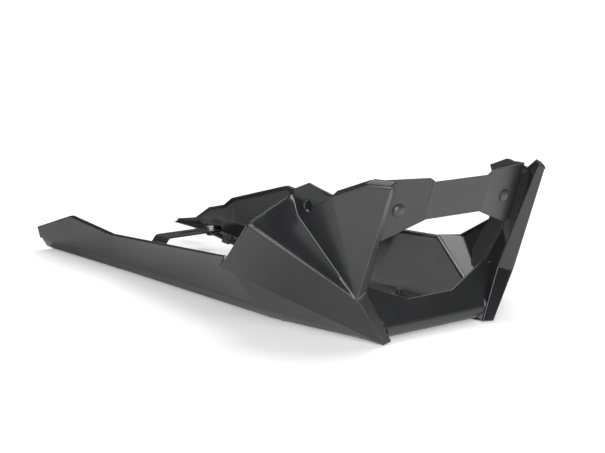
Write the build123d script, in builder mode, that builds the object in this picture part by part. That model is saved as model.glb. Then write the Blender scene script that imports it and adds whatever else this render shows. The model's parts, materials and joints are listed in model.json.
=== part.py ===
"""Motorcycle belly pan: two thin moulded side panels, a folded front frame and its fasteners.

Millimetres. X points forward on the motorcycle, Y to its left and Z up. Sizes below are measured
from the front tips of the panels and from the undersides of their floors. The finished pieces are
moved so that the origin lies at the bottom, in the middle of the overall length and width.
"""
import os

from build123d import *

os.makedirs("parts", exist_ok=True)

# Moulded panels: wall, lips and rounding
wall = 2.6
lip_width = 6.0
bilge_cut = 3.5
full_height = 12.0
hole_fit = 0.3

# Front fan of facets, given as (forward, out from the centre line, up) for both sides
tip = (0.0, 70.0, 0.0)
kink = (-3.0, 99.0, 44.5)
front_corner = (35.0, 96.0, 146.0)
brow = (19.0, 109.5, 147.5)
valley = (-5.0, 126.0, 137.0)
ridge_two_top = (-58.5, 132.0, 129.4)
draw = (-1.7, -2.6, 0.3)
flange_at_corner = (-2.6, -7.2, 0.0)
flange_at_kink = (-5.0, -16.0, 4.0)
flange_at_tip = (-2.5, -12.0, 1.0)
flange_wall = (-2.4, 0.0, 0.0)
brow_return = (-1.0, -7.0, 3.5)
brow_wall = (0.0, 0.0, -2.4)

# Recessed mounting tab, flat and parallel to the centre plane
tab_out = 126.0
tab_heel = (-56.5, tab_out, 136.0)
tab_peak = (-35.0, tab_out, 144.0)
tab_hole = (-36.0, tab_out, 124.5)
tab_hole_diameter = 10.0
tab_corner_radius = 5.0

# Rear corners of the fan and the hull rim below them, which differ from side to side
ridge_one_top = {"right": (-60.0, 173.0, 111.0), "left": (-46.0, 173.0, 100.0)}
wing_corner = {"right": (-122.0, 155.5, 61.5), "left": (-121.5, 155.0, 52.7)}
rim_junction = {"right": (-138.0, 139.0, 65.5), "left": (-139.0, 139.0, 52.0)}
ledge_wall = 2.5
ledge_overlap = 2.0
ledge_start = 0.06
upper_lip = (-4.6, -1.6, -1.6)
upper_lip_wall = (0.6, -0.4, -2.4)
wing_lip = (-2.2, -4.4, 1.2)
wing_lip_wall = (2.2, -0.4, -0.2)

# Hull stations: forward, rim out, rim up, knuckle out, knuckle up, bilge out, floor up, edge out
stations = {
    "right": [
        (-588.0, 74.0, 25.5, 70.5, 10.0, 64.0, 0.0, 50.0),
        (-503.0, 80.5, 50.0, 75.5, 13.5, 67.0, 0.0, 42.0),
        (-410.0, 87.0, 43.0, 79.5, 12.0, 70.0, 0.0, 44.0),
        (-138.0, 140.0, 66.8, 97.0, 14.0, 84.0, 0.0, 58.0),
        (-30.0, 86.0, 15.5, 78.0, 5.5, 72.5, 0.0, 55.0),
        (-6.0, 73.5, 3.6, 72.0, 1.5, 70.7, 0.0, 62.0),
    ],
    "left": [
        (-541.0, 95.5, 23.0, 94.0, 21.2, 92.0, 19.0, 88.0),
        (-504.0, 97.5, 29.0, 95.5, 24.5, 92.0, 18.8, 85.0),
        (-476.0, 98.5, 45.0, 97.0, 34.0, 91.5, 18.0, 83.0),
        (-448.0, 99.5, 51.5, 97.5, 34.0, 90.5, 15.5, 80.0),
        (-434.0, 100.5, 61.0, 98.0, 33.0, 90.0, 14.0, 79.0),
        (-348.0, 110.0, 84.0, 100.0, 23.0, 86.0, 6.5, 66.0),
        (-187.0, 137.0, 53.0, 98.0, 13.0, 85.0, 0.0, 58.0),
        (-139.0, 140.3, 53.3, 97.0, 12.0, 84.0, 0.0, 58.0),
        (-30.0, 86.3, 12.5, 78.0, 5.0, 72.5, 0.0, 55.0),
        (-6.0, 73.5, 3.1, 72.0, 1.3, 70.7, 0.0, 62.0),
    ],
}
tail_notch_length = 7.0
tail_notch_height = 12.0
knuckle_step = 12.0

# Folded sheet of the upper front bracket
sheet = 2.0
bend_radius = 4.0
bracket_front = 13.2
bracket_foot = 109.0
bracket_lean = 0.316
bracket_flat = 36.0
bracket_sweep = 0.139
bracket_end = 88.0
bracket_curl_length = 12.0
bracket_blank_foot = 85.0
bracket_blank_height = 70.0
bolt_out = 66.0
bolt_up = 120.0

# Lower front plate: a leaning face over a floor flange, given forward, up and out
plate_front = 0.5
plate_lean = 0.46
plate_bend = 9.0
plate_view = [
    (57.0, 2.6),
    (60.0, 8.5),
    (65.4, 20.9),
    (71.9, 31.7),
    (79.3, 43.2),
    (84.0, 47.0),
    (84.0, 52.5),
    (79.5, 53.0),
    (28.0, 33.0),
]
plate_view_top = 60.0
flange_rear = -45.0
flange_front = -15.0
flange_out = 67.0
side_fold = (-4.0, 10.0, 0.0)
side_fold_wall = (-1.9, -0.8, 0.0)
side_fold_ends = ((83.0, 50.0), (64.2, 20.0))
plate_screw_at = (-34.0, 62.0)

# Side arms of the plate, which rise to ears behind the bracket
arm_out = 84.0
arm_width = 19.0
arm_view = [
    (-20.5, 46.0),
    (-23.2, 52.0),
    (-2.6, 87.7),
    (0.4, 109.0),
    (1.0, 111.0),
    (-13.8, 111.0),
    (-21.3, 90.0),
    (-31.0, 76.0),
    (-40.0, 61.0),
    (-42.0, 48.5),
    (-41.0, 44.0),
]
ear_top = 132.0
ear_inner = 56.0

# Rear strap
strap_front = -450.0
strap_rear = -476.0
strap_up = 19.6
strap_left_end = 90.5
strap_bend_at = 18.0
strap_foot_bend = 4.0
strap_foot_up = wall
strap_right_end = 62.0
strap_screw_left = 86.0
strap_screw_right = 54.0
strap_slot = (6.0, 30.0)
strap_width = strap_front - strap_rear
strap_middle = (strap_front + strap_rear) / 2
strap_pad = (81.0, 91.5, 17.7)
strap_boss_up = 15.4
strap_boss_diameter = 12.0

# Fasteners
bolt_diameter = 6.0
dome_diameter = 12.0
dome_height = 3.5
dome_edge = 1.0
dome_radius = ((dome_diameter / 2) ** 2 + (dome_height - dome_edge) ** 2) / (2 * (dome_height - dome_edge))
washer_diameter = 13.0
washer_height = 1.2
nut_across_flats = 10.0
nut_height = 5.0
tab_lean = bracket_lean / (1 + bracket_sweep**2) ** 0.5
bolt_grip = 2 * sheet / (1 + tab_lean**2) ** 0.5 + washer_height
screw_diameter = 5.0
screw_head_diameter = 10.0
screw_head_height = 1.2
small_nut_across_flats = 8.0
small_nut_height = 4.0
clip_sheet = 1.0
clip_width = 13.0
clip_outer = 4.2
clip_lower_length = 6.5
floor_clip_at = {
    "front_right": (-130.0, 73.0),
    "rear_right": (-433.0, 59.0),
    "front_left": (-130.0, 73.0),
    "rear_left": (-420.0, 80.7),
}

clip_reach = {
    "front_right": (12.0, clip_lower_length),
    "rear_right": (12.0, clip_lower_length),
    "front_left": (12.0, clip_lower_length),
    "rear_left": (5.4, 0.4),
}

strap_ends = {
    "right": (strap_screw_right, strap_foot_up, 0.0),
    "left": (strap_screw_left, strap_up, strap_boss_up),
}

sides = {"right": -1, "left": 1}
above = (Align.CENTER, Align.CENTER, Align.MIN)
below = (Align.CENTER, Align.CENTER, Align.MAX)
inboard_of = {
    "right": (Align.CENTER, Align.MIN, Align.CENTER),
    "left": (Align.CENTER, Align.MAX, Align.CENTER),
}


def on_side(point, side):
    """Place a point, given by its distance out from the centre line, on one side."""
    forward, outboard, up = point
    return Vector(forward, side * outboard, up)


def outline(points, rounded=None):
    """A flat closed outline through points in space, with one corner rounded if it is named."""
    first, second, last = points[0], points[1], points[-1]
    along = second - first
    plane = Plane(origin=first, x_dir=along, z_dir=along.cross(last - first))
    flat_points = [plane.to_local_coords(point) for point in points]
    with BuildSketch(plane) as flat:
        with BuildLine():
            Polyline(*[(point.X, point.Y) for point in flat_points], close=True)
        make_face()
        if rounded is not None:
            corner = plane.to_local_coords(rounded)
            fillet(flat.vertices().sort_by_distance((corner.X, corner.Y))[0], tab_corner_radius)
    return flat.sketch


def facet(points, side, rounded=None):
    """A flat facet of the fan, as thick as the common draw direction makes it."""
    inward = on_side(draw, side)
    places = [on_side(point, side) for point in points]
    corner = None if rounded is None else on_side(rounded, side)
    extrude(outline(places, corner), amount=inward.length, dir=inward)


def flange(start, end, start_width, end_width, thickness, side):
    """A strip along the edge from start to end, with a width of its own at each end."""
    thick = on_side(thickness, side)
    sections = []
    for corner, width in ((start, start_width), (end, end_width)):
        edge_point = on_side(corner, side)
        inner_point = edge_point + on_side(width, side)
        sections.append(outline([edge_point, inner_point, inner_point + thick, edge_point + thick]))
    loft(sections, ruled=True)


def thickened(points, thickness):
    """A closed outline: an open run of points and its copy, moved inwards by the wall."""
    inner = []
    for index, point in enumerate(points):
        before = points[max(index - 1, 0)]
        after = points[min(index + 1, len(points) - 1)]
        arriving = (point - before).normalized() if index else (after - point).normalized()
        leaving = (after - point).normalized() if point is not after else arriving
        normals = [Vector(run.Y, -run.X) for run in (arriving, leaving)]
        middle = (normals[0] + normals[1]).normalized()
        inner.append(point + middle * (thickness / middle.dot(normals[0])))
    return points + inner[::-1]


def hull_section(station, side):
    """The thin cross-section of a hull: lip, side, knuckle, bilge and floor."""
    forward, rim_out, rim_up, knuckle_out, knuckle_up, bilge_out, floor_up, edge_out = station
    slim = min(1.0, (rim_up - floor_up) / full_height)
    knuckle = Vector(knuckle_out, knuckle_up)
    bilge = Vector(bilge_out, floor_up)
    run = [
        Vector(rim_out - lip_width * slim, rim_up),
        Vector(rim_out, rim_up),
        knuckle,
        bilge + (knuckle - bilge).normalized() * bilge_cut * slim,
        Vector(bilge_out - bilge_cut * slim, floor_up),
        Vector(edge_out, floor_up),
    ]
    with BuildSketch(Plane(origin=(forward, 0, 0), x_dir=(0, side, 0), z_dir=(side, 0, 0))) as section:
        with BuildLine():
            Polyline(*[(point.X, point.Y) for point in thickened(run, wall * slim)], close=True)
        make_face()
    return section.sketch


def floor_plane(name, forward, outboard):
    """The plane of a hull floor's underside at one place, with its X axis along the floor."""
    spans = zip(stations[name], stations[name][1:])
    rear, front = next(span for span in spans if span[0][0] <= forward <= span[1][0])
    slope = (front[6] - rear[6]) / (front[0] - rear[0])
    up = rear[6] + slope * (forward - rear[0])
    along = Vector(1, 0, slope)
    place = (forward, sides[name] * outboard, up)
    return Plane(origin=place, x_dir=along, z_dir=along.cross(Vector(0, 1, 0)))


def side_panel(name):
    """One moulded panel: the hull behind, the fan of facets in front, and their lips."""
    side = sides[name]
    corner, wing, junction = ridge_one_top[name], wing_corner[name], rim_junction[name]
    share = (tab_out - kink[1]) / (ridge_two_top[1] - kink[1])
    step = tuple(low + share * (high - low) for low, high in zip(kink, ridge_two_top))
    inward = on_side(draw, side)
    with BuildPart() as panel:
        # Hull and tail
        for rear, front in zip(stations[name], stations[name][1:]):
            loft([hull_section(rear, side), hull_section(front, side)], ruled=True)
        # Flat facets round the kink, and the recessed tab with its step
        facet([kink, front_corner, brow, valley], side)
        facet([kink, valley, step], side)
        facet([valley, step, tab_heel, tab_peak], side, rounded=tab_peak)
        facet([step, ridge_two_top, tab_heel], side)
        facet([kink, corner, ridge_two_top], side)
        # Large lower facet, which twists a little from the nose to the wing
        ends = []
        for upper, lower in ((kink, tip), (corner, wing)):
            high, low = on_side(upper, side), on_side(lower, side)
            ends.append(outline([high, low, low + inward, high + inward]))
        loft(ends, ruled=True)
        # Undercut ledge between the large facet and the hull
        nose, rim_end, wing_end = (on_side(point, side) for point in (tip, junction, wing))
        into_rim = (rim_end - wing_end).normalized() * ledge_overlap
        ledge = [
            nose + (rim_end - nose) * ledge_start + into_rim,
            rim_end + into_rim,
            wing_end,
            nose + (wing_end - nose) * ledge_start,
        ]
        extrude(outline(ledge), amount=ledge_wall, dir=(0, 0, 1))
        # Front flanges, the raised return along the brow and the rear lips
        flange(front_corner, kink, flange_at_corner, flange_at_kink, flange_wall, side)
        flange(kink, tip, flange_at_kink, flange_at_tip, flange_wall, side)
        flange(front_corner, brow, brow_return, brow_return, brow_wall, side)
        flange(brow, valley, brow_return, brow_return, brow_wall, side)
        flange(corner, ridge_two_top, upper_lip, upper_lip, upper_lip_wall, side)
        flange(wing, corner, wing_lip, wing_lip, wing_lip_wall, side)
        # Mounting hole in the tab
        with Locations(Plane(origin=on_side(tab_hole, side), z_dir=(0, 1, 0))):
            Cylinder(tab_hole_diameter / 2, wall * 6, mode=Mode.SUBTRACT)
        # Screw holes in the floor, and the notches that the clips are pushed into
        for place in ("front", "rear"):
            forward, outboard = floor_clip_at[f"{place}_{name}"]
            with Locations(floor_plane(name, forward, outboard)):
                Cylinder(screw_diameter / 2 + hole_fit, wall * 3, mode=Mode.SUBTRACT)
            reach, lower = clip_reach[f"{place}_{name}"]
            notch = floor_plane(name, forward, outboard - reach)
            with Locations(notch):
                Box(clip_width + 1, 30, wall * 3, align=inboard_of[name], mode=Mode.SUBTRACT)
        with Locations((plate_screw_at[0], side * plate_screw_at[1], 0)):
            Cylinder(screw_diameter / 2 + hole_fit, wall * 3, mode=Mode.SUBTRACT)
    return panel.part


def right_panel():
    """The right panel, whose tail's lower band ends a little short of the rim."""
    with BuildPart() as panel:
        add(side_panel("right"))
        with Locations((stations["right"][0][0], -stations["right"][0][1], 0)):
            Box(2 * tail_notch_length, 4 * knuckle_step, 2 * tail_notch_height, mode=Mode.SUBTRACT)
        with Locations((strap_middle, -strap_screw_right, 0)):
            Cylinder(screw_diameter / 2 + hole_fit, wall * 3, mode=Mode.SUBTRACT)
    return panel.part


def left_panel():
    """The left panel, with a flat pad and a round boss under the end of the strap."""
    pad_inner, pad_outer, pad_foot = strap_pad
    boss = strap_up - strap_boss_up
    with BuildPart() as panel:
        add(side_panel("left"))
        with Locations((strap_middle, (pad_inner + pad_outer) / 2, strap_up)):
            Box(strap_width, pad_outer - pad_inner, strap_up - pad_foot, align=below)
            Box(strap_width + 2, pad_outer - pad_inner + 1, 5, align=above, mode=Mode.SUBTRACT)
        with Locations((strap_middle, strap_screw_left, strap_boss_up)):
            Cylinder(strap_boss_diameter / 2, boss, align=above)
            Cylinder(screw_diameter / 2 + hole_fit, boss, align=above, mode=Mode.SUBTRACT)
    return panel.part


def leaning_sheet(path, thickness, foot, height):
    """A bent sheet that leans forward as it rises, from a run of points in plan."""
    with BuildSketch(Plane.XY.offset(foot)) as plan:
        with BuildLine():
            front = FilletPolyline(*path, radius=bend_radius)
            offset(front, amount=thickness, side=Side.LEFT, kind=Kind.INTERSECTION)
        make_face()
    lean = Vector(bracket_lean, 0, 1)
    extrude(plan.sketch, amount=height * lean.length, dir=lean)


def mirrored_run(half):
    """A run of points given for one half, carried over to both halves."""
    return [(forward, -outboard) for forward, outboard in half[::-1]] + list(half)


def tab_face(outboard):
    """How far forward the bracket's tab stands at its foot, at one distance out."""
    return bracket_front - bracket_sweep * (outboard - bracket_flat)


# Upper front bracket: flat middle, two swept tabs whose ends curl rearward
bracket_path = mirrored_run(
    [
        (bracket_front, bracket_flat),
        (tab_face(bracket_end), bracket_end),
        (tab_face(bracket_end) - bracket_curl_length, bracket_end + 1.5),
    ]
)
bracket_lower_edge = [(34, 109), (50, 103), (78, 93), (96, 100)]
bracket_upper_edge = [(96, 149), (39.5, 147), (33, 143)]
bolt_places = {
    side: Plane(
        origin=(tab_face(bolt_out) + bracket_lean * (bolt_up - bracket_foot), side * bolt_out, bolt_up),
        z_dir=(1, side * bracket_sweep, -bracket_lean),
    )
    for side in sides.values()
}


def front_bracket():
    """The upper bracket: a leaning sheet, cut to its outline as seen from the front."""
    drop = bracket_foot - bracket_blank_foot
    low_path = [(forward - bracket_lean * drop, outboard) for forward, outboard in bracket_path]
    half = bracket_lower_edge + bracket_upper_edge
    with BuildPart() as bracket:
        leaning_sheet(low_path, sheet, bracket_blank_foot, bracket_blank_height)
        with BuildSketch(Plane.YZ):
            with BuildLine():
                Polyline(*half, *[(-out, up) for out, up in half[::-1]], close=True)
            make_face()
        extrude(amount=80, both=True, mode=Mode.INTERSECT)
        for place in bolt_places.values():
            with Locations(place):
                Cylinder(bolt_diameter / 2 + hole_fit, 12, mode=Mode.SUBTRACT)
    return bracket.part


def ear(side):
    """The ear on top of one arm: it lies against the back of the bracket's tab."""
    behind = sheet * (1 + bracket_sweep**2) ** 0.5
    run = [(tab_face(out) - behind, side * out) for out in (ear_inner, arm_out)]
    run.append((run[-1][0] - arm_width, side * arm_out))
    with BuildPart() as piece:
        leaning_sheet(run[::side], sheet, bracket_foot, ear_top - bracket_foot)
        with Locations(bolt_places[side]):
            Cylinder(bolt_diameter / 2 + hole_fit, 12, mode=Mode.SUBTRACT)
    return piece.part


def side_arm(side):
    """One flat arm, folded rearward at the plate's shoulder and rising to its ear."""
    with BuildPart() as arm:
        with BuildSketch(Plane(origin=(0, side * arm_out, 0), x_dir=(1, 0, 0), z_dir=(0, -1, 0))):
            with BuildLine():
                Polyline(*arm_view, close=True)
            make_face()
        extrude(amount=side * sheet)
    return arm.part


def on_plate(out, up):
    """A point on the leaning face of the lower plate."""
    return (plate_front - plate_lean * (up - wall), out, up)


def front_plate():
    """The lower plate: a leaning face, a round bend, a flange on the floors, arms and ears."""
    with BuildPart() as plate:
        with BuildSketch(Plane.XZ):
            with BuildLine():
                top = on_plate(0, plate_view_top)
                profile = FilletPolyline(
                    (flange_rear, wall),
                    (plate_front, wall),
                    (top[0], top[2]),
                    radius=plate_bend,
                )
                offset(profile, amount=sheet, side=Side.LEFT, kind=Kind.INTERSECTION)
            make_face()
        extrude(amount=arm_out, both=True)
        with BuildSketch(Plane.YZ):
            with BuildLine():
                Polyline(*plate_view, *[(-out, up) for out, up in plate_view[::-1]], close=True)
            make_face()
        extrude(amount=80, both=True, mode=Mode.INTERSECT)
        with Locations(((flange_rear + flange_front) / 2, 0, wall)):
            Box(flange_front - flange_rear, 2 * flange_out, sheet, align=above)
        for side in sides.values():
            flange(*[on_plate(*end) for end in side_fold_ends], side_fold, side_fold, side_fold_wall, side)
            add(side_arm(side))
            add(ear(side))
            with Locations((plate_screw_at[0], side * plate_screw_at[1], wall)):
                Cylinder(screw_diameter / 2 + hole_fit, 20, mode=Mode.SUBTRACT)
    return plate.part


def strap():
    """The rear strap: raised on the left, bent down to a foot on the right."""
    with BuildPart() as band:
        with BuildSketch(Plane(origin=(strap_rear, 0, 0), x_dir=(0, 1, 0), z_dir=(1, 0, 0))) as rear_view:
            with BuildLine():
                underside = FilletPolyline(
                    (strap_left_end, strap_up),
                    (strap_bend_at, strap_up),
                    (strap_foot_bend, strap_foot_up),
                    (-strap_right_end, strap_foot_up),
                    radius=bend_radius,
                )
                offset(underside, amount=sheet, side=Side.RIGHT, kind=Kind.INTERSECTION)
            make_face()
        extrude(amount=strap_width)
        with BuildSketch(Plane.XY.offset(strap_up)):
            with Locations((strap_middle, (strap_left_end + strap_bend_at) / 2)):
                SlotOverall(strap_slot[1], strap_slot[0], rotation=90)
        extrude(amount=sheet, mode=Mode.SUBTRACT)
        for out in (strap_screw_left, -strap_screw_right):
            with Locations((strap_middle, out, 0)):
                Cylinder(screw_diameter / 2 + hole_fit, 60, mode=Mode.SUBTRACT)
    return band.part


def dome_bolt(side):
    """A bolt with a domed head on the bracket's tab and its shank through tab and ear."""
    with BuildPart() as bolt:
        with BuildSketch(Plane.XZ) as half_section:
            with BuildLine():
                Line((0, 0), (dome_diameter / 2, 0))
                Line((dome_diameter / 2, 0), (dome_diameter / 2, dome_edge))
                RadiusArc((dome_diameter / 2, dome_edge), (0, dome_height), -dome_radius)
                Line((0, dome_height), (0, 0))
            make_face()
        revolve(axis=Axis.Z)
        Cylinder(bolt_diameter / 2, bolt_grip + nut_height + 1, align=below)
    return bolt_places[side].location * bolt.part


def washer(side):
    """A plain washer behind the ear."""
    with BuildPart() as ring:
        with Locations((0, 0, -bolt_grip + washer_height)):
            Cylinder(washer_diameter / 2, washer_height, align=below)
            Cylinder(bolt_diameter / 2, washer_height, align=below, mode=Mode.SUBTRACT)
    return bolt_places[side].location * ring.part


def hex_nut(across_flats, height, bore):
    """A hexagon nut standing on its plane."""
    with BuildPart() as nut:
        with BuildSketch():
            RegularPolygon(across_flats / 2, 6, major_radius=False)
        extrude(amount=height)
        chamfer(nut.edges().group_by(Axis.Z)[-1], height / 12)
        Cylinder(bore / 2, height, align=above, mode=Mode.SUBTRACT)
    return nut.part


def floor_screw(length):
    """A screw set from below: thin round head under the plane, shank above it."""
    with BuildPart() as screw:
        Cylinder(screw_head_diameter / 2, screw_head_height, align=below)
        chamfer(screw.edges().group_by(Axis.Z)[0], screw_head_height / 3)
        Cylinder(screw_diameter / 2, length, align=above)
    return screw.part


def floor_clip(place):
    """A spring clip pushed over the floor's edge, with a round nut on its upper leaf."""
    reach, lower = clip_reach[place]
    name = place.split("_")[1]
    side = sides[name]
    forward, outboard = floor_clip_at[place]
    with BuildPart() as clip:
        with BuildSketch(Plane.YZ.offset(-clip_width / 2)) as leaf:
            with BuildLine():
                Polyline(
                    (side * clip_outer, wall),
                    (side * clip_outer, wall + clip_sheet),
                    (-side * (reach + clip_sheet), wall + clip_sheet),
                    (-side * (reach + clip_sheet), -clip_sheet),
                    (-side * (reach - lower), -clip_sheet),
                    (-side * (reach - lower), 0),
                    (-side * reach, 0),
                    (-side * reach, wall),
                    close=True,
                )
            make_face()
        extrude(amount=clip_width)
        with Locations((0, 0, wall + clip_sheet)):
            Cylinder(small_nut_across_flats / 2, small_nut_height, align=above)
        Cylinder(screw_diameter / 2, 60, mode=Mode.SUBTRACT)
    return floor_plane(name, forward, outboard).location * clip.part


def place_floor_screw(spot):
    """The floor screw of one clip, square to the floor there."""
    forward, outboard = floor_clip_at[spot]
    length = wall + clip_sheet + small_nut_height + 1
    return floor_plane(spot.split("_")[1], forward, outboard).location * floor_screw(length)


# Finished pieces, moved into the shared frame
to_frame = Pos(-(stations["right"][0][0] + front_corner[0]) / 2, 0, screw_head_height)

with BuildPart() as right_side_panel:
    add(to_frame * right_panel())
right_side_panel.part.label = "right_side_panel"
export_step(right_side_panel.part, "parts/right_side_panel.step")

with BuildPart() as left_side_panel:
    add(to_frame * left_panel())
left_side_panel.part.label = "left_side_panel"
export_step(left_side_panel.part, "parts/left_side_panel.step")

with BuildPart() as upper_front_bracket:
    add(to_frame * front_bracket())
upper_front_bracket.part.label = "upper_front_bracket"
export_step(upper_front_bracket.part, "parts/upper_front_bracket.step")

with BuildPart() as lower_front_plate:
    add(to_frame * front_plate())
lower_front_plate.part.label = "lower_front_plate"
export_step(lower_front_plate.part, "parts/lower_front_plate.step")

with BuildPart() as rear_strap:
    add(to_frame * strap())
rear_strap.part.label = "rear_strap"
export_step(rear_strap.part, "parts/rear_strap.step")

for name, side in sides.items():
    behind_washer = bolt_places[side].location * Pos(0, 0, -bolt_grip - nut_height)
    plate_hole = Pos(plate_screw_at[0], side * plate_screw_at[1], 0)
    strap_out, strap_foot, strap_under = strap_ends[name]
    strap_hole = Pos(strap_middle, side * strap_out, strap_under)
    strap_stack = strap_foot + sheet - strap_under

    with BuildPart() as bolt:
        add(to_frame * dome_bolt(side))
    bolt.part.label = f"dome_bolt_{name}"
    export_step(bolt.part, f"parts/dome_bolt_{name}.step")

    with BuildPart() as ring:
        add(to_frame * washer(side))
    ring.part.label = f"dome_washer_{name}"
    export_step(ring.part, f"parts/dome_washer_{name}.step")

    with BuildPart() as bolt_nut:
        add(to_frame * behind_washer * hex_nut(nut_across_flats, nut_height, bolt_diameter))
    bolt_nut.part.label = f"dome_nut_{name}"
    export_step(bolt_nut.part, f"parts/dome_nut_{name}.step")

    with BuildPart() as plate_screw:
        add(to_frame * plate_hole * floor_screw(wall + sheet + small_nut_height + 1))
    plate_screw.part.label = f"plate_screw_{name}"
    export_step(plate_screw.part, f"parts/plate_screw_{name}.step")

    with BuildPart() as plate_nut:
        nut = hex_nut(small_nut_across_flats, small_nut_height, screw_diameter)
        add(to_frame * plate_hole * Pos(0, 0, wall + sheet) * nut)
    plate_nut.part.label = f"plate_nut_{name}"
    export_step(plate_nut.part, f"parts/plate_nut_{name}.step")

    with BuildPart() as strap_screw:
        add(to_frame * strap_hole * floor_screw(strap_stack + small_nut_height + 1))
    strap_screw.part.label = f"strap_screw_{name}"
    export_step(strap_screw.part, f"parts/strap_screw_{name}.step")

    with BuildPart() as strap_nut:
        nut = hex_nut(small_nut_across_flats, small_nut_height, screw_diameter)
        add(to_frame * strap_hole * Pos(0, 0, strap_stack) * nut)
    strap_nut.part.label = f"strap_nut_{name}"
    export_step(strap_nut.part, f"parts/strap_nut_{name}.step")

    for place in ("front", "rear"):
        spot = f"{place}_{name}"

        with BuildPart() as clip:
            add(to_frame * floor_clip(spot))
        clip.part.label = f"floor_clip_{spot}"
        export_step(clip.part, f"parts/floor_clip_{spot}.step")

        with BuildPart() as screw:
            add(to_frame * place_floor_screw(spot))
        screw.part.label = f"floor_screw_{spot}"
        export_step(screw.part, f"parts/floor_screw_{spot}.step")
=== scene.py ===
# %% [markdown]
# # A motorcycle belly pan in the studio
# The pan hangs under a motorcycle's engine. It is two thin black plastic panels, held together by
# folded sheet metal. Its shapes could be drawn by eye, but measured parts are at hand, so this lesson
# starts from them and gives them softer edges, screw threads, finishes and studio light.

# %% Load the measured parts
import json
import math

import bmesh
import bpy
from mathutils import Matrix, Vector


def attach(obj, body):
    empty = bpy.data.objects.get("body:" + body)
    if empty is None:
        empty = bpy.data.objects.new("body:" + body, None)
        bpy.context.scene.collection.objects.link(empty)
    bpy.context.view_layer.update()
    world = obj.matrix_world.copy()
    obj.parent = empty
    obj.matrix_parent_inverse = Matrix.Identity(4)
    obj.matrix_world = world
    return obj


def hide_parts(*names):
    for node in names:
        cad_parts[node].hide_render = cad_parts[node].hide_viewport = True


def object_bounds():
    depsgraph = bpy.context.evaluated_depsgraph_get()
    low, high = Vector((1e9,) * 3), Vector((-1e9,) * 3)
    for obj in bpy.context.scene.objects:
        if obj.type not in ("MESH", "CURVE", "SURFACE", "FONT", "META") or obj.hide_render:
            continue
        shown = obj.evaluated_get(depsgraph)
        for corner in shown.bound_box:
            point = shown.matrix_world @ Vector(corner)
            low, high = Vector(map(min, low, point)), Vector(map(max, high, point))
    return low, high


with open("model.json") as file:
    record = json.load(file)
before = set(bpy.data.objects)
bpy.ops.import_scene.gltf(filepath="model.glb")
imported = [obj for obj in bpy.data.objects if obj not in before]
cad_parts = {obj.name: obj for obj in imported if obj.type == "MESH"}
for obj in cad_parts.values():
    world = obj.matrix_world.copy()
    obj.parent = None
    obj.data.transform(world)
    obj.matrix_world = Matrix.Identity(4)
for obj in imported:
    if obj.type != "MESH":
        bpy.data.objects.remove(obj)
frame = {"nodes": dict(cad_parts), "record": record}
nodes = frame["nodes"]
cad_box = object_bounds()
print("parts loaded:", len(nodes))
print("measured box:", [[round(v, 4) for v in corner] for corner in cad_box])

# %% [markdown]
# ## Surface effects that several finishes share
# Every black part shows a fine grain, a little dust and rubbed edges. These could be drawn again in
# each material, but then each change is made four times. A node group is drawn once and has its own
# sliders, so each finish places it with its own values. A few helpers keep the drawing short.

# %% Helpers for nodes
def plug(tree, value, socket):
    """Links another node's output to a socket, or sets a plain value on it."""
    if isinstance(value, bpy.types.NodeSocket):
        tree.links.new(value, socket)
    else:
        socket.default_value = value


def add_node(tree, kind, inputs=None, **settings):
    """A node with its settings made first, because some of its sockets depend on them."""
    node = tree.nodes.new(kind)
    for setting, value in settings.items():
        setattr(node, setting, value)
    for label, value in (inputs or {}).items():
        plug(tree, value, node.inputs[label])
    return node


def math_node(tree, operation, *values):
    return add_node(tree, "ShaderNodeMath", dict(enumerate(values)), operation=operation).outputs[0]


def vector_node(tree, operation, *values):
    node = add_node(tree, "ShaderNodeVectorMath", dict(enumerate(values)), operation=operation)
    return node.outputs["Value" if operation == "LENGTH" else "Vector"]


def ramp_node(tree, source, start, stop, low=0.0, high=1.0, **settings):
    """A value that goes from low to high while the source goes from start to stop."""
    sizes = {"Value": source, "From Min": start, "From Max": stop, "To Min": low, "To Max": high}
    return add_node(tree, "ShaderNodeMapRange", sizes, **settings).outputs["Result"]


def colour_mix(tree, amount, first, second):
    """A Mix node for colours, whose colour sockets are inputs 6 and 7 and output 2."""
    colours = {0: amount, 6: first, 7: second}
    return add_node(tree, "ShaderNodeMix", colours, data_type="RGBA").outputs[2]


def new_tree(kind, name, inputs, outputs):
    """A node group with named sockets, which are given as name, type and, for inputs, a value."""
    tree = bpy.data.node_groups.new(name, kind)
    for label, socket_type, value in inputs:
        socket = tree.interface.new_socket(
            label, in_out="INPUT", socket_type=f"NodeSocket{socket_type}")
        if value is not None:
            socket.default_value = value
    for label, socket_type in outputs:
        tree.interface.new_socket(label, in_out="OUTPUT", socket_type=f"NodeSocket{socket_type}")
    return tree, tree.nodes.new("NodeGroupInput"), tree.nodes.new("NodeGroupOutput")


print("node helpers ready")

# %% [markdown]
# ### Moulded grain
# The mould's steel is etched, so the plastic comes out with a leather-like grain that is less than a
# millimetre wide. A picture of leather could be wrapped on, but it would repeat and stretch.
# Voronoi cells with some noise don't, and are scaled in grains per metre. A second, broad noise
# makes colour and gloss a little uneven, as handling does.

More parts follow.
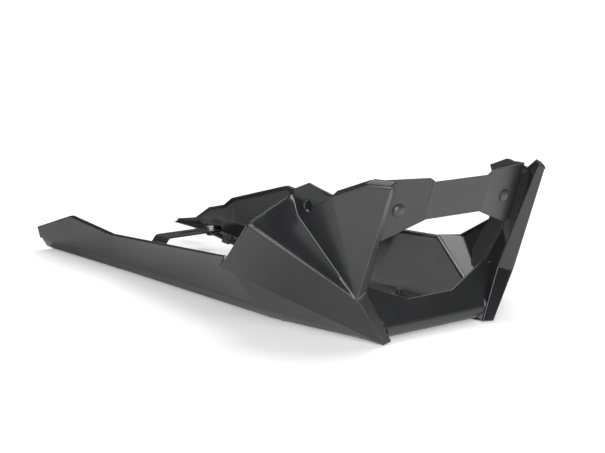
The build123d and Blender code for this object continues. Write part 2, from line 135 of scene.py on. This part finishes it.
# %% Fine moulded grain
def make_grain():
    group, start, end = new_tree(
        "ShaderNodeTree", "moulded_grain",
        [("Vector", "Vector", None), ("Grains per metre", "Float", 1500.0),
         ("Mottle per metre", "Float", 30.0)],
        [("Height", "Float"), ("Mottle", "Float")],
    )
    place, grains = start.outputs["Vector"], start.outputs["Grains per metre"]
    cells = add_node(group, "ShaderNodeTexVoronoi",
                     {"Vector": place, "Scale": grains, "Smoothness": 0.6}, feature="SMOOTH_F1")
    fine = add_node(group, "ShaderNodeTexNoise", {"Vector": place, "Scale": grains, "Detail": 3.0})
    broad = add_node(group, "ShaderNodeTexNoise", {
        "Vector": place, "Scale": start.outputs["Mottle per metre"], "Detail": 4.0})
    noise_share = 0.5
    height = math_node(group, "MULTIPLY_ADD", fine.outputs[0], noise_share, cells.outputs["Distance"])
    plug(group, height, end.inputs["Height"])
    plug(group, broad.outputs[0], end.inputs["Mottle"])
    return group


grain_group = make_grain()
print("grain group:", [item.name for item in grain_group.interface.items_tree])

# %% [markdown]
# ### Where the mould is rounder
# Plastic fills a sharp corner badly, so the panels are widely rounded along the ridges, the brow, the
# lips and the hull's rim. Rounding the mesh that far would push its thin folds into each other. A
# Bevel node only turns the normals, so the light rolls over the edge while the shape stays. This
# group tells it how wide to be at each place. One list serves both sides, because Y is folded.

# %% The lines of the fan that are rounded most
fan_foot = (0.2735, 0.099, 0.0457)
ridge_top_right = (0.2165, 0.173, 0.1122)
ridge_top_left = (0.2305, 0.173, 0.1012)
valley_top = (0.2715, 0.126, 0.1382)
brow = (0.2955, 0.1095, 0.1487)
front_corner = (0.3115, 0.096, 0.1472)
lip_end = (0.218, 0.132, 0.1306)
ridge_radius = 0.008
lip_radius = 0.0045

ridges = [(fan_foot, ridge_top_right), (fan_foot, ridge_top_left)]
soft_lines = [(*line, ridge_radius) for line in
              ridges + [(valley_top, brow), (brow, front_corner)]]
soft_lines += [(top, lip_end, lip_radius) for top in (ridge_top_right, ridge_top_left)]
print("soft lines:", len(soft_lines))


# %% A radius for each place on the panels
def make_rounding():
    group, start, end = new_tree(
        "ShaderNodeTree", "soft_edges",
        [("Vector", "Vector", None), ("Edge radius", "Float", 0.0009), ("Moulded", "Float", 1.0)],
        [("Radius", "Float")],
    )
    place = start.outputs["Vector"]
    folded = vector_node(group, "ABSOLUTE", place)
    split = add_node(group, "ShaderNodeSeparateXYZ", {0: place})

    # The rim of the hull: behind the fan and above the floor
    rim_radius, rim_ends, rim_starts = 0.0042, (0.115, 0.13), (0.018, 0.022)
    behind = ramp_node(group, split.outputs["X"], *rim_ends, rim_radius, 0.0)
    high_up = ramp_node(group, split.outputs["Z"], *rim_starts)
    widest = math_node(group, "MULTIPLY", behind, high_up)

    # The fan's lines, which get sharper towards its foot
    tip_zone, tip_share, line_fade = (0.2735, 0.225), 0.4, 1.15
    taper = ramp_node(group, split.outputs["X"], *tip_zone, tip_share, 1.0)
    for foot, top, radius in soft_lines:
        along = (Vector(top) - Vector(foot)).normalized()
        arm = vector_node(group, "SUBTRACT", folded, foot)
        reach = vector_node(group, "LENGTH", vector_node(group, "CROSS_PRODUCT", arm, along))
        near = ramp_node(group, reach, radius, radius * line_fade, radius, 0.0)
        widest = math_node(group, "MAXIMUM", widest, math_node(group, "MULTIPLY", near, taper))

    moulded = math_node(group, "MULTIPLY", widest, start.outputs["Moulded"])
    radius = math_node(group, "MAXIMUM", moulded, start.outputs["Edge radius"])
    plug(group, radius, end.inputs["Radius"])
    return group


rounding_group = make_rounding()
print("rounding group nodes:", len(rounding_group.nodes))

# %% [markdown]
# ### Rubbed edges
# Hands and tools rub the outer edges a little paler. That could be painted by hand, edge by edge.
# Pointiness knows where the surface turns outwards, and noise breaks the line up, so that it doesn't
# look drawn.

# %% Rubbed edges
def make_edge_wear():
    group, start, end = new_tree(
        "ShaderNodeTree", "edge_wear",
        [("Vector", "Vector", None), ("Edge", "Float", 0.5), ("Amount", "Float", 0.3)],
        [("Mask", "Float")],
    )
    noise = add_node(group, "ShaderNodeTexNoise",
                     {"Vector": start.outputs["Vector"], "Scale": 180.0, "Detail": 5.0})
    edge_from, edge_to = 0.52, 0.58
    sharp = ramp_node(group, start.outputs["Edge"], edge_from, edge_to)
    broken = math_node(group, "MULTIPLY", sharp, noise.outputs[0])
    mask = math_node(group, "MULTIPLY", broken, start.outputs["Amount"])
    plug(group, mask, end.inputs["Mask"])
    return group


wear_group = make_edge_wear()
print("wear group:", [item.name for item in wear_group.interface.items_tree])


# %% [markdown]
# ## Finishes
# The panels are through-coloured black plastic with a satin grain. The folded sheets carry a duller
# powder coat, the screws and bolts are blackened, and the hidden nuts and washers are zinc plated.
# Four materials could be drawn one by one. One maker with different values keeps them alike, and a
# change to it reaches all four.

# %% One maker for all finishes
wear_amount = 0.3
bump_strength = 0.18
gloss_change = 0.05
bevel_samples = 32
mottled = {"factor": 1.35, "lift": 0.004}
rubbed = {"factor": 2.2, "lift": 0.02}


def paler(colour, factor, lift):
    """A colour multiplied and then lifted, so that black gets paler too."""
    return (*[min(1.0, part * factor + lift) for part in colour], 1)


def finish(name, colour, rough, grain_size, grain_depth, edge, moulded=0.0, metal=0.0):
    material = bpy.data.materials.new(name)
    material.use_nodes = True
    tree = material.node_tree
    place = tree.nodes.new("ShaderNodeTexCoord").outputs["Object"]
    pointiness = tree.nodes.new("ShaderNodeNewGeometry").outputs["Pointiness"]
    grain = add_node(tree, "ShaderNodeGroup", {
        "Vector": place, "Grains per metre": grain_size}, node_tree=grain_group)
    rub = add_node(tree, "ShaderNodeGroup", {
        "Vector": place, "Edge": pointiness, "Amount": wear_amount}, node_tree=wear_group)
    rounding = add_node(tree, "ShaderNodeGroup", {
        "Vector": place, "Edge radius": edge, "Moulded": moulded}, node_tree=rounding_group)
    soft_edge = add_node(tree, "ShaderNodeBevel",
                         {"Radius": rounding.outputs["Radius"]}, samples=bevel_samples)
    bump = add_node(tree, "ShaderNodeBump", {
        "Strength": bump_strength, "Distance": grain_depth,
        "Height": grain.outputs["Height"], "Normal": soft_edge.outputs["Normal"]})
    mottle = grain.outputs["Mottle"]
    tint = colour_mix(tree, mottle, (*colour, 1), paler(colour, **mottled))
    worn = colour_mix(tree, rub.outputs["Mask"], tint, paler(colour, **rubbed))
    gloss = ramp_node(tree, mottle, 0.0, 1.0, rough - gloss_change, rough + gloss_change)
    shader = tree.nodes["Principled BSDF"]
    for label, value in (("Base Color", worn), ("Roughness", gloss),
                         ("Normal", bump.outputs["Normal"]), ("Metallic", metal)):
        plug(tree, value, shader.inputs[label])
    return material


print("finish maker ready")

# %% The four finishes
recipes = {
    "panel_plastic": dict(colour=(0.0085, 0.0087, 0.0095), rough=0.24, grain_size=1600.0,
                          grain_depth=0.00003, edge=0.0015, moulded=1.0),
    "coated_sheet": dict(colour=(0.01, 0.0102, 0.011), rough=0.42, grain_size=2200.0,
                         grain_depth=0.00004, edge=0.0007),
    "black_fastener": dict(colour=(0.025, 0.025, 0.027), rough=0.36, grain_size=2500.0,
                           grain_depth=0.00003, edge=0.0004),
    "zinc_fastener": dict(colour=(0.42, 0.43, 0.45), rough=0.34, grain_size=2500.0,
                          grain_depth=0.00002, edge=0.0003, metal=1.0),
}
finishes = {name: finish(name, **recipe) for name, recipe in recipes.items()}
print("finishes:", list(finishes))

# %% Paint the measured parts
slot_of = {entry["node"]: entry["material_slot"] for entry in frame["record"]["subparts"]}


def paint(mesh, slot):
    mesh.materials.clear()
    mesh.materials.append(finishes[slot])


for node_name, part in nodes.items():
    paint(part.data, slot_of[node_name])
print("painted:", len(slot_of))


# %% [markdown]
# ## Softened edges
# A mould and a press brake never leave a razor edge, and those narrow rounds catch the light in the
# picture. A Bevel modifier could round them, but it would take the short edges of the screw holes too.
# Here each large part is copied, its loose triangles are joined into one skin, and only long, clearly
# turned edges are bevelled in code. The ridges are left to the finish, which rounds them much more.

# %% Tell which edges to round
sharp_turn = 25.0  # degrees
shortest_edge = 6.0  # times the width of the bevel
ridge_reach = 0.003  # metres


def on_ridge(edge):
    """Whether an edge lies on a ridge, which the finish rounds by itself."""
    middle = (edge.verts[0].co + edge.verts[1].co) / 2
    middle.y = abs(middle.y)
    for foot, top in ridges:
        along = (Vector(top) - Vector(foot)).normalized()
        if (middle - Vector(foot)).cross(along).length < ridge_reach:
            return True
    return False


def to_be_rounded(edge, width):
    turned = math.degrees(edge.calc_face_angle(0.0)) > sharp_turn
    return turned and edge.calc_length() > shortest_edge * width and not on_ridge(edge)


print("edges are rounded from", sharp_turn, "degrees")


# %% Bevel a copy of a mesh
weld_distance = 2e-6
flat_turn = 0.8
bevel_steps = 3


def rounded_skin(source, width):
    """A copy of a mesh with its long sharp edges bevelled, kept inside the measured box."""
    skin = bmesh.new()
    skin.from_mesh(source)
    bmesh.ops.remove_doubles(skin, verts=skin.verts, dist=weld_distance)
    bmesh.ops.dissolve_limit(skin, angle_limit=math.radians(flat_turn),
                             verts=skin.verts, edges=skin.edges)
    chosen = [edge for edge in skin.edges if to_be_rounded(edge, width)]
    bmesh.ops.bevel(skin, geom=chosen, offset=width, segments=bevel_steps, profile=0.5,
                    affect="EDGES", clamp_overlap=False)
    low, high = (Vector(corner) for corner in cad_box)
    for vert in skin.verts:
        vert.co = [min(max(vert.co[axis], low[axis]), high[axis]) for axis in range(3)]
    bmesh.ops.triangulate(skin, faces=[face for face in skin.faces if len(face.verts) > 4])
    return skin, len(chosen)


print("bevel steps:", bevel_steps)

# %% Round the large parts
moulded_width = 0.0006
folded_width = 0.0004
shading_turn = 26.0


def add_object(name, data):
    """A new object at the origin, in the scene."""
    thing = bpy.data.objects.new(name, data)
    bpy.context.scene.collection.objects.link(thing)
    return thing


def smooth_faces(mesh):
    for polygon in mesh.polygons:
        polygon.use_smooth = True


def rounded_copy(node_name, width):
    skin, rounded = rounded_skin(nodes[node_name].data, width)
    mesh = bpy.data.meshes.new(f"{node_name}_soft")
    skin.to_mesh(mesh)
    skin.free()
    smooth_faces(mesh)
    mesh.set_sharp_from_angle(angle=math.radians(shading_turn))
    piece = add_object(f"{node_name}_soft", mesh)
    shading = piece.modifiers.new("even shading", "WEIGHTED_NORMAL")
    shading.keep_sharp = True
    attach(piece, "root")
    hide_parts(node_name)
    paint(mesh, slot_of[node_name])
    print(piece.name, "rounded edges:", rounded, "faces:", len(mesh.polygons))


for node_name in ("right_side_panel", "left_side_panel"):
    rounded_copy(node_name, moulded_width)
for node_name in ("upper_front_bracket", "lower_front_plate", "rear_strap"):
    rounded_copy(node_name, folded_width)


# %% [markdown]
# ## Screw threads
# A screw's end stands about a millimetre out of its nut, and only there its thread shows. A helix
# could be modelled on each screw. A Geometry Nodes tree winds one short helix and puts it on the free
# ends, so its pitch and height are changed in one place. First the ends are found on the measured
# meshes. One screw, at the rear left, leans and doesn't measure true, so it goes without a thread.

# %% Find the free ends
end_depth = 0.00035  # points this near to the furthest one, in metres, belong to the end face
axis_passes = 4


def free_end(node_name, axis):
    """The middle of a screw's free end, its axis and its radius. The axis is a first guess, and
    each pass takes it again from the middles of the screw's two end faces."""
    points = [vert.co.copy() for vert in nodes[node_name].data.vertices]
    for _ in range(axis_passes):
        heights = [point.dot(axis) for point in points]
        rings = []
        for limit, sign in ((max(heights), -1), (min(heights), 1)):
            ring = [p for p, height in zip(points, heights) if sign * (height - limit) < end_depth]
            rings.append((sum(ring, Vector()) / len(ring), ring))
        end, ring = rings[0]
        axis = (end - rings[1][0]).normalized()
    return end, axis, max((point - end).length for point in ring)


def centre_of(node_name):
    verts = nodes[node_name].data.vertices
    return sum((vert.co for vert in verts), Vector()) / len(verts)


free_ends = {}
for node_name in nodes:
    if "_bolt_" in node_name:
        guess = centre_of(node_name.replace("bolt", "nut")) - centre_of(node_name)
        free_ends[node_name] = free_end(node_name, guess.normalized())
    elif "_screw_" in node_name:
        free_ends[node_name] = free_end(node_name, Vector((0, 0, 1)))
print("free ends:", {name: round(found[2] * 1000, 2) for name, found in free_ends.items()})

# %% Wind the helix with Geometry Nodes
thread_height = 0.0008


def thread_tree():
    tree, start, end = new_tree(
        "GeometryNodeTree", "screw_threads",
        [("Ends", "Geometry", None), ("Radius", "Float", 0.0025), ("Pitch", "Float", 0.0005),
         ("Height", "Float", thread_height), ("Crest", "Float", 0.00013),
         ("Finish", "Material", None)],
        [("Threads", "Geometry")],
    )
    radius, height = start.outputs["Radius"], start.outputs["Height"]
    turns = math_node(tree, "DIVIDE", height, start.outputs["Pitch"])
    spiral = add_node(tree, "GeometryNodeCurveSpiral", {
        "Resolution": 28, "Rotations": turns, "Height": height,
        "Start Radius": radius, "End Radius": radius})
    profile = add_node(tree, "GeometryNodeCurvePrimitiveCircle",
                       {"Resolution": 6, "Radius": start.outputs["Crest"]})
    sweep = add_node(tree, "GeometryNodeCurveToMesh", {
        "Curve": spiral.outputs["Curve"], "Profile Curve": profile.outputs["Curve"],
        "Fill Caps": True})
    turn = add_node(tree, "GeometryNodeInputNamedAttribute", {"Name": "turn"},
                    data_type="FLOAT_VECTOR")
    placed = add_node(tree, "GeometryNodeInstanceOnPoints", {
        "Points": start.outputs["Ends"], "Instance": sweep.outputs["Mesh"],
        "Rotation": turn.outputs["Attribute"]})
    whole = add_node(tree, "GeometryNodeRealizeInstances", {"Geometry": placed.outputs["Instances"]})
    painted = add_node(tree, "GeometryNodeSetMaterial", {
        "Geometry": whole.outputs["Geometry"], "Material": start.outputs["Finish"]})
    plug(tree, painted.outputs["Geometry"], end.inputs["Threads"])
    return tree


threads = thread_tree()
thread_sockets = {item.name: item.identifier for item in threads.interface.items_tree}
print("thread sockets:", list(thread_sockets))


# %% Bake one set of threads for each screw size
radius_slack = 0.0001
seat_gap = 0.0001


def seat_points(label, chosen):
    """One point under each free end, with the turn that lays the helix along the screw."""
    seats = bpy.data.meshes.new(f"thread_seats_{label}")
    seats.from_pydata([end - axis * (thread_height + seat_gap) for end, axis, _ in chosen], [], [])
    turns = seats.attributes.new("turn", "FLOAT_VECTOR", "POINT")
    for point, (_, axis, _) in zip(turns.data, chosen):
        point.vector = axis.to_track_quat("Z", "Y").to_euler()
    return add_object(seats.name, seats)


def bake_threads(label, radius):
    chosen = [found for found in free_ends.values() if abs(found[2] - radius) < radius_slack]
    base = seat_points(label, chosen)
    winding = base.modifiers.new("winding", "NODES")
    winding.node_group = threads
    for socket, value in (("Radius", radius), ("Height", thread_height),
                          ("Finish", finishes["black_fastener"])):
        winding[thread_sockets[socket]] = value
    bpy.context.view_layer.update()
    evaluated = base.evaluated_get(bpy.context.evaluated_depsgraph_get())
    baked = bpy.data.meshes.new_from_object(evaluated)
    baked.name = f"screw_threads_{label}"
    bpy.data.objects.remove(base)
    smooth_faces(baked)
    piece = add_object(baked.name, baked)
    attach(piece, "root")
    print(piece.name, "screws:", len(chosen), "faces:", len(baked.polygons))


for label, radius in (("m5", 0.0025), ("m6", 0.003)):
    bake_threads(label, radius)


# %% [markdown]
# ## The white sweep
# The picture was taken on a white sweep that shows no horizon, and the pan leaves a soft shadow on it.
# Lamps strong enough to make a floor white would burn out the pan, so the floor also glows a little
# for the camera, and more with distance, until it is pure white. It also glows for glossy rays alone:
# that is a painted reflection on the pan's satin faces, which fades towards the pan's tail so that
# they reflect darker there.

# %% Lay the floor
floor_reach = 30
corners = [(x * floor_reach, y * floor_reach, 0) for x, y in ((-1, -1), (1, -1), (1, 1), (-1, 1))]
floor_mesh = bpy.data.meshes.new("studio_floor")
floor_mesh.from_pydata(corners, [], [(0, 1, 2, 3)])
floor = add_object("studio_floor", floor_mesh)
white = bpy.data.materials.new("white_sweep")
white.use_nodes = True
tree = white.node_tree
sweep = tree.nodes["Principled BSDF"]
for label, value in (("Base Color", (0.8, 0.8, 0.8, 1)), ("Roughness", 1.0),
                     ("Specular IOR Level", 0.0), ("Emission Color", (1, 1, 1, 1))):
    sweep.inputs[label].default_value = value
floor_mesh.materials.append(white)
print("floor width:", 2 * floor_reach, "m")

# %% Let it glow
# The glow that only glossy rays see is a painted reflection on the pan: dark towards its tail, bright
# towards its front.
painted_reflection_zone = (-0.3, 0.4)  # along the pan, from its tail to its front
painted_reflection_stops = ((0.0, 0.0), (0.43, 0.1), (0.71, 0.26), (0.93, 0.85))
glow_zone = (0.4, 1.6)  # distance from the pan's middle
glow_levels = (0.36, 0.56)

path = tree.nodes.new("ShaderNodeLightPath")
spot = tree.nodes.new("ShaderNodeTexCoord").outputs["Object"]
along = add_node(tree, "ShaderNodeSeparateXYZ", {0: spot}).outputs["X"]
painted_reflection = add_node(tree, "ShaderNodeValToRGB", {0: ramp_node(tree, along, *painted_reflection_zone)})
stops = painted_reflection.color_ramp.elements
stops.remove(stops[1])
for place, level in painted_reflection_stops:
    stop = stops[0] if place == 0.0 else stops.new(place)
    stop.color = (level, level, level, 1)
# Painted reflection: a glow that only glossy rays see, so the pan's faces reflect a floor that is
# darker near its tail.
painted_reflection_glow = math_node(tree, "MULTIPLY", painted_reflection.outputs[0], path.outputs["Is Glossy Ray"])
away = vector_node(tree, "LENGTH", spot)
whiter = ramp_node(tree, away, *glow_zone, *glow_levels, interpolation_type="SMOOTHSTEP")
seen = math_node(tree, "MULTIPLY_ADD", path.outputs["Is Camera Ray"], whiter, painted_reflection_glow)
plug(tree, seen, sweep.inputs["Emission Strength"])
print("mirror stops:", [(round(stop.position, 2), round(stop.color[0], 2)) for stop in stops])


# %% [markdown]
# ## Lamps
# Small, strong lamps would give hard glints, so these are all large. A tall soft box next to the
# camera lights what looks forward and draws the bright lines along the ridges. A broad light from
# above and behind makes the floor white and the shadow soft. Behind the pan, two weak boxes on the
# right keep the hull's side grey, and one on the left reaches the inside. A dim room fills the rest.

# %% Two kinds of lamp
aim = Vector((0.2, 0.0, 0.1))


def direction(azimuth, elevation):
    """Towards a lamp: azimuth 0 is to the pan's right, 90 in front of it and -90 behind it."""
    a, e = math.radians(azimuth), math.radians(elevation)
    return Vector((math.sin(a) * math.cos(e), -math.cos(a) * math.cos(e), math.sin(e)))


def hang_lamp(light, towards):
    lamp = add_object(light.name, light)
    lamp.rotation_euler = towards.to_track_quat("Z", "Y").to_euler()
    return lamp


def soft_sun(name, azimuth, elevation, spread, strength):
    light = bpy.data.lights.new(name, "SUN")
    light.angle = math.radians(spread)
    light.energy = strength
    hang_lamp(light, direction(azimuth, elevation))


def soft_box(name, azimuth, elevation, distance, size, power):
    light = bpy.data.lights.new(name, "AREA")
    light.shape = "RECTANGLE"
    light.size, light.size_y = size
    light.energy = power
    towards = direction(azimuth, elevation)
    hang_lamp(light, towards).location = aim + towards * distance


print("lamps aim at", tuple(round(v, 2) for v in aim))

# %% Hang the lamps and dim the room
soft_sun("overhead", azimuth=-150.0, elevation=68.0, spread=60.0, strength=1.9)
soft_box("rear_softbox", azimuth=-78.0, elevation=43.0, distance=2.4, size=(1.2, 0.8), power=3.6)
soft_box("side_card", azimuth=-57.0, elevation=5.0, distance=2.4, size=(1.4, 0.45), power=1.9)
soft_box("back_fill", azimuth=-148.0, elevation=34.0, distance=2.6, size=(1.4, 1.0), power=9.0)
soft_box("front_softbox", azimuth=52.0, elevation=19.0, distance=1.7, size=(0.9, 1.1), power=33.0)
room_level = 0.06
world = bpy.data.worlds.new("dark_room")
world.use_nodes = True
room = world.node_tree.nodes["Background"]
room.inputs["Color"].default_value = (room_level, room_level, room_level, 1)
room.inputs["Strength"].default_value = 1.0
bpy.context.scene.world = world
print("lamps:", [light.name for light in bpy.data.lights])

# %% [markdown]
# ## Camera
# The photograph was taken from in front of the pan, to its right and a little above. A camera could
# be aimed by eye, but then no edge falls on its place. This one is set from the photograph's own
# perspective: where it stood, which way it looked, and its focal length in pixels.

# %% Set up the camera
photo_width, focal_length = 605.0, 1450.0  # pixels
sensor_width = 36.0  # millimetres
camera_place = Vector((1.1681, -0.9102, 0.3238))
right_axis = Vector((0.642788, 0.766044, 0.0))
back_axis = Vector((0.754221, -0.632867, 0.175022))

lens = bpy.data.cameras.new("studio_camera")
lens.sensor_width = sensor_width
lens.lens = focal_length / photo_width * sensor_width
lens.clip_end = 100.0
camera = add_object("studio_camera", lens)
turned = Matrix((right_axis, back_axis.cross(right_axis), back_axis)).transposed().to_4x4()
camera.matrix_world = Matrix.Translation(camera_place) @ turned
bpy.context.scene.camera = camera
bpy.context.scene.view_settings.view_transform = "Standard"
print("lens:", round(lens.lens, 1), "mm")
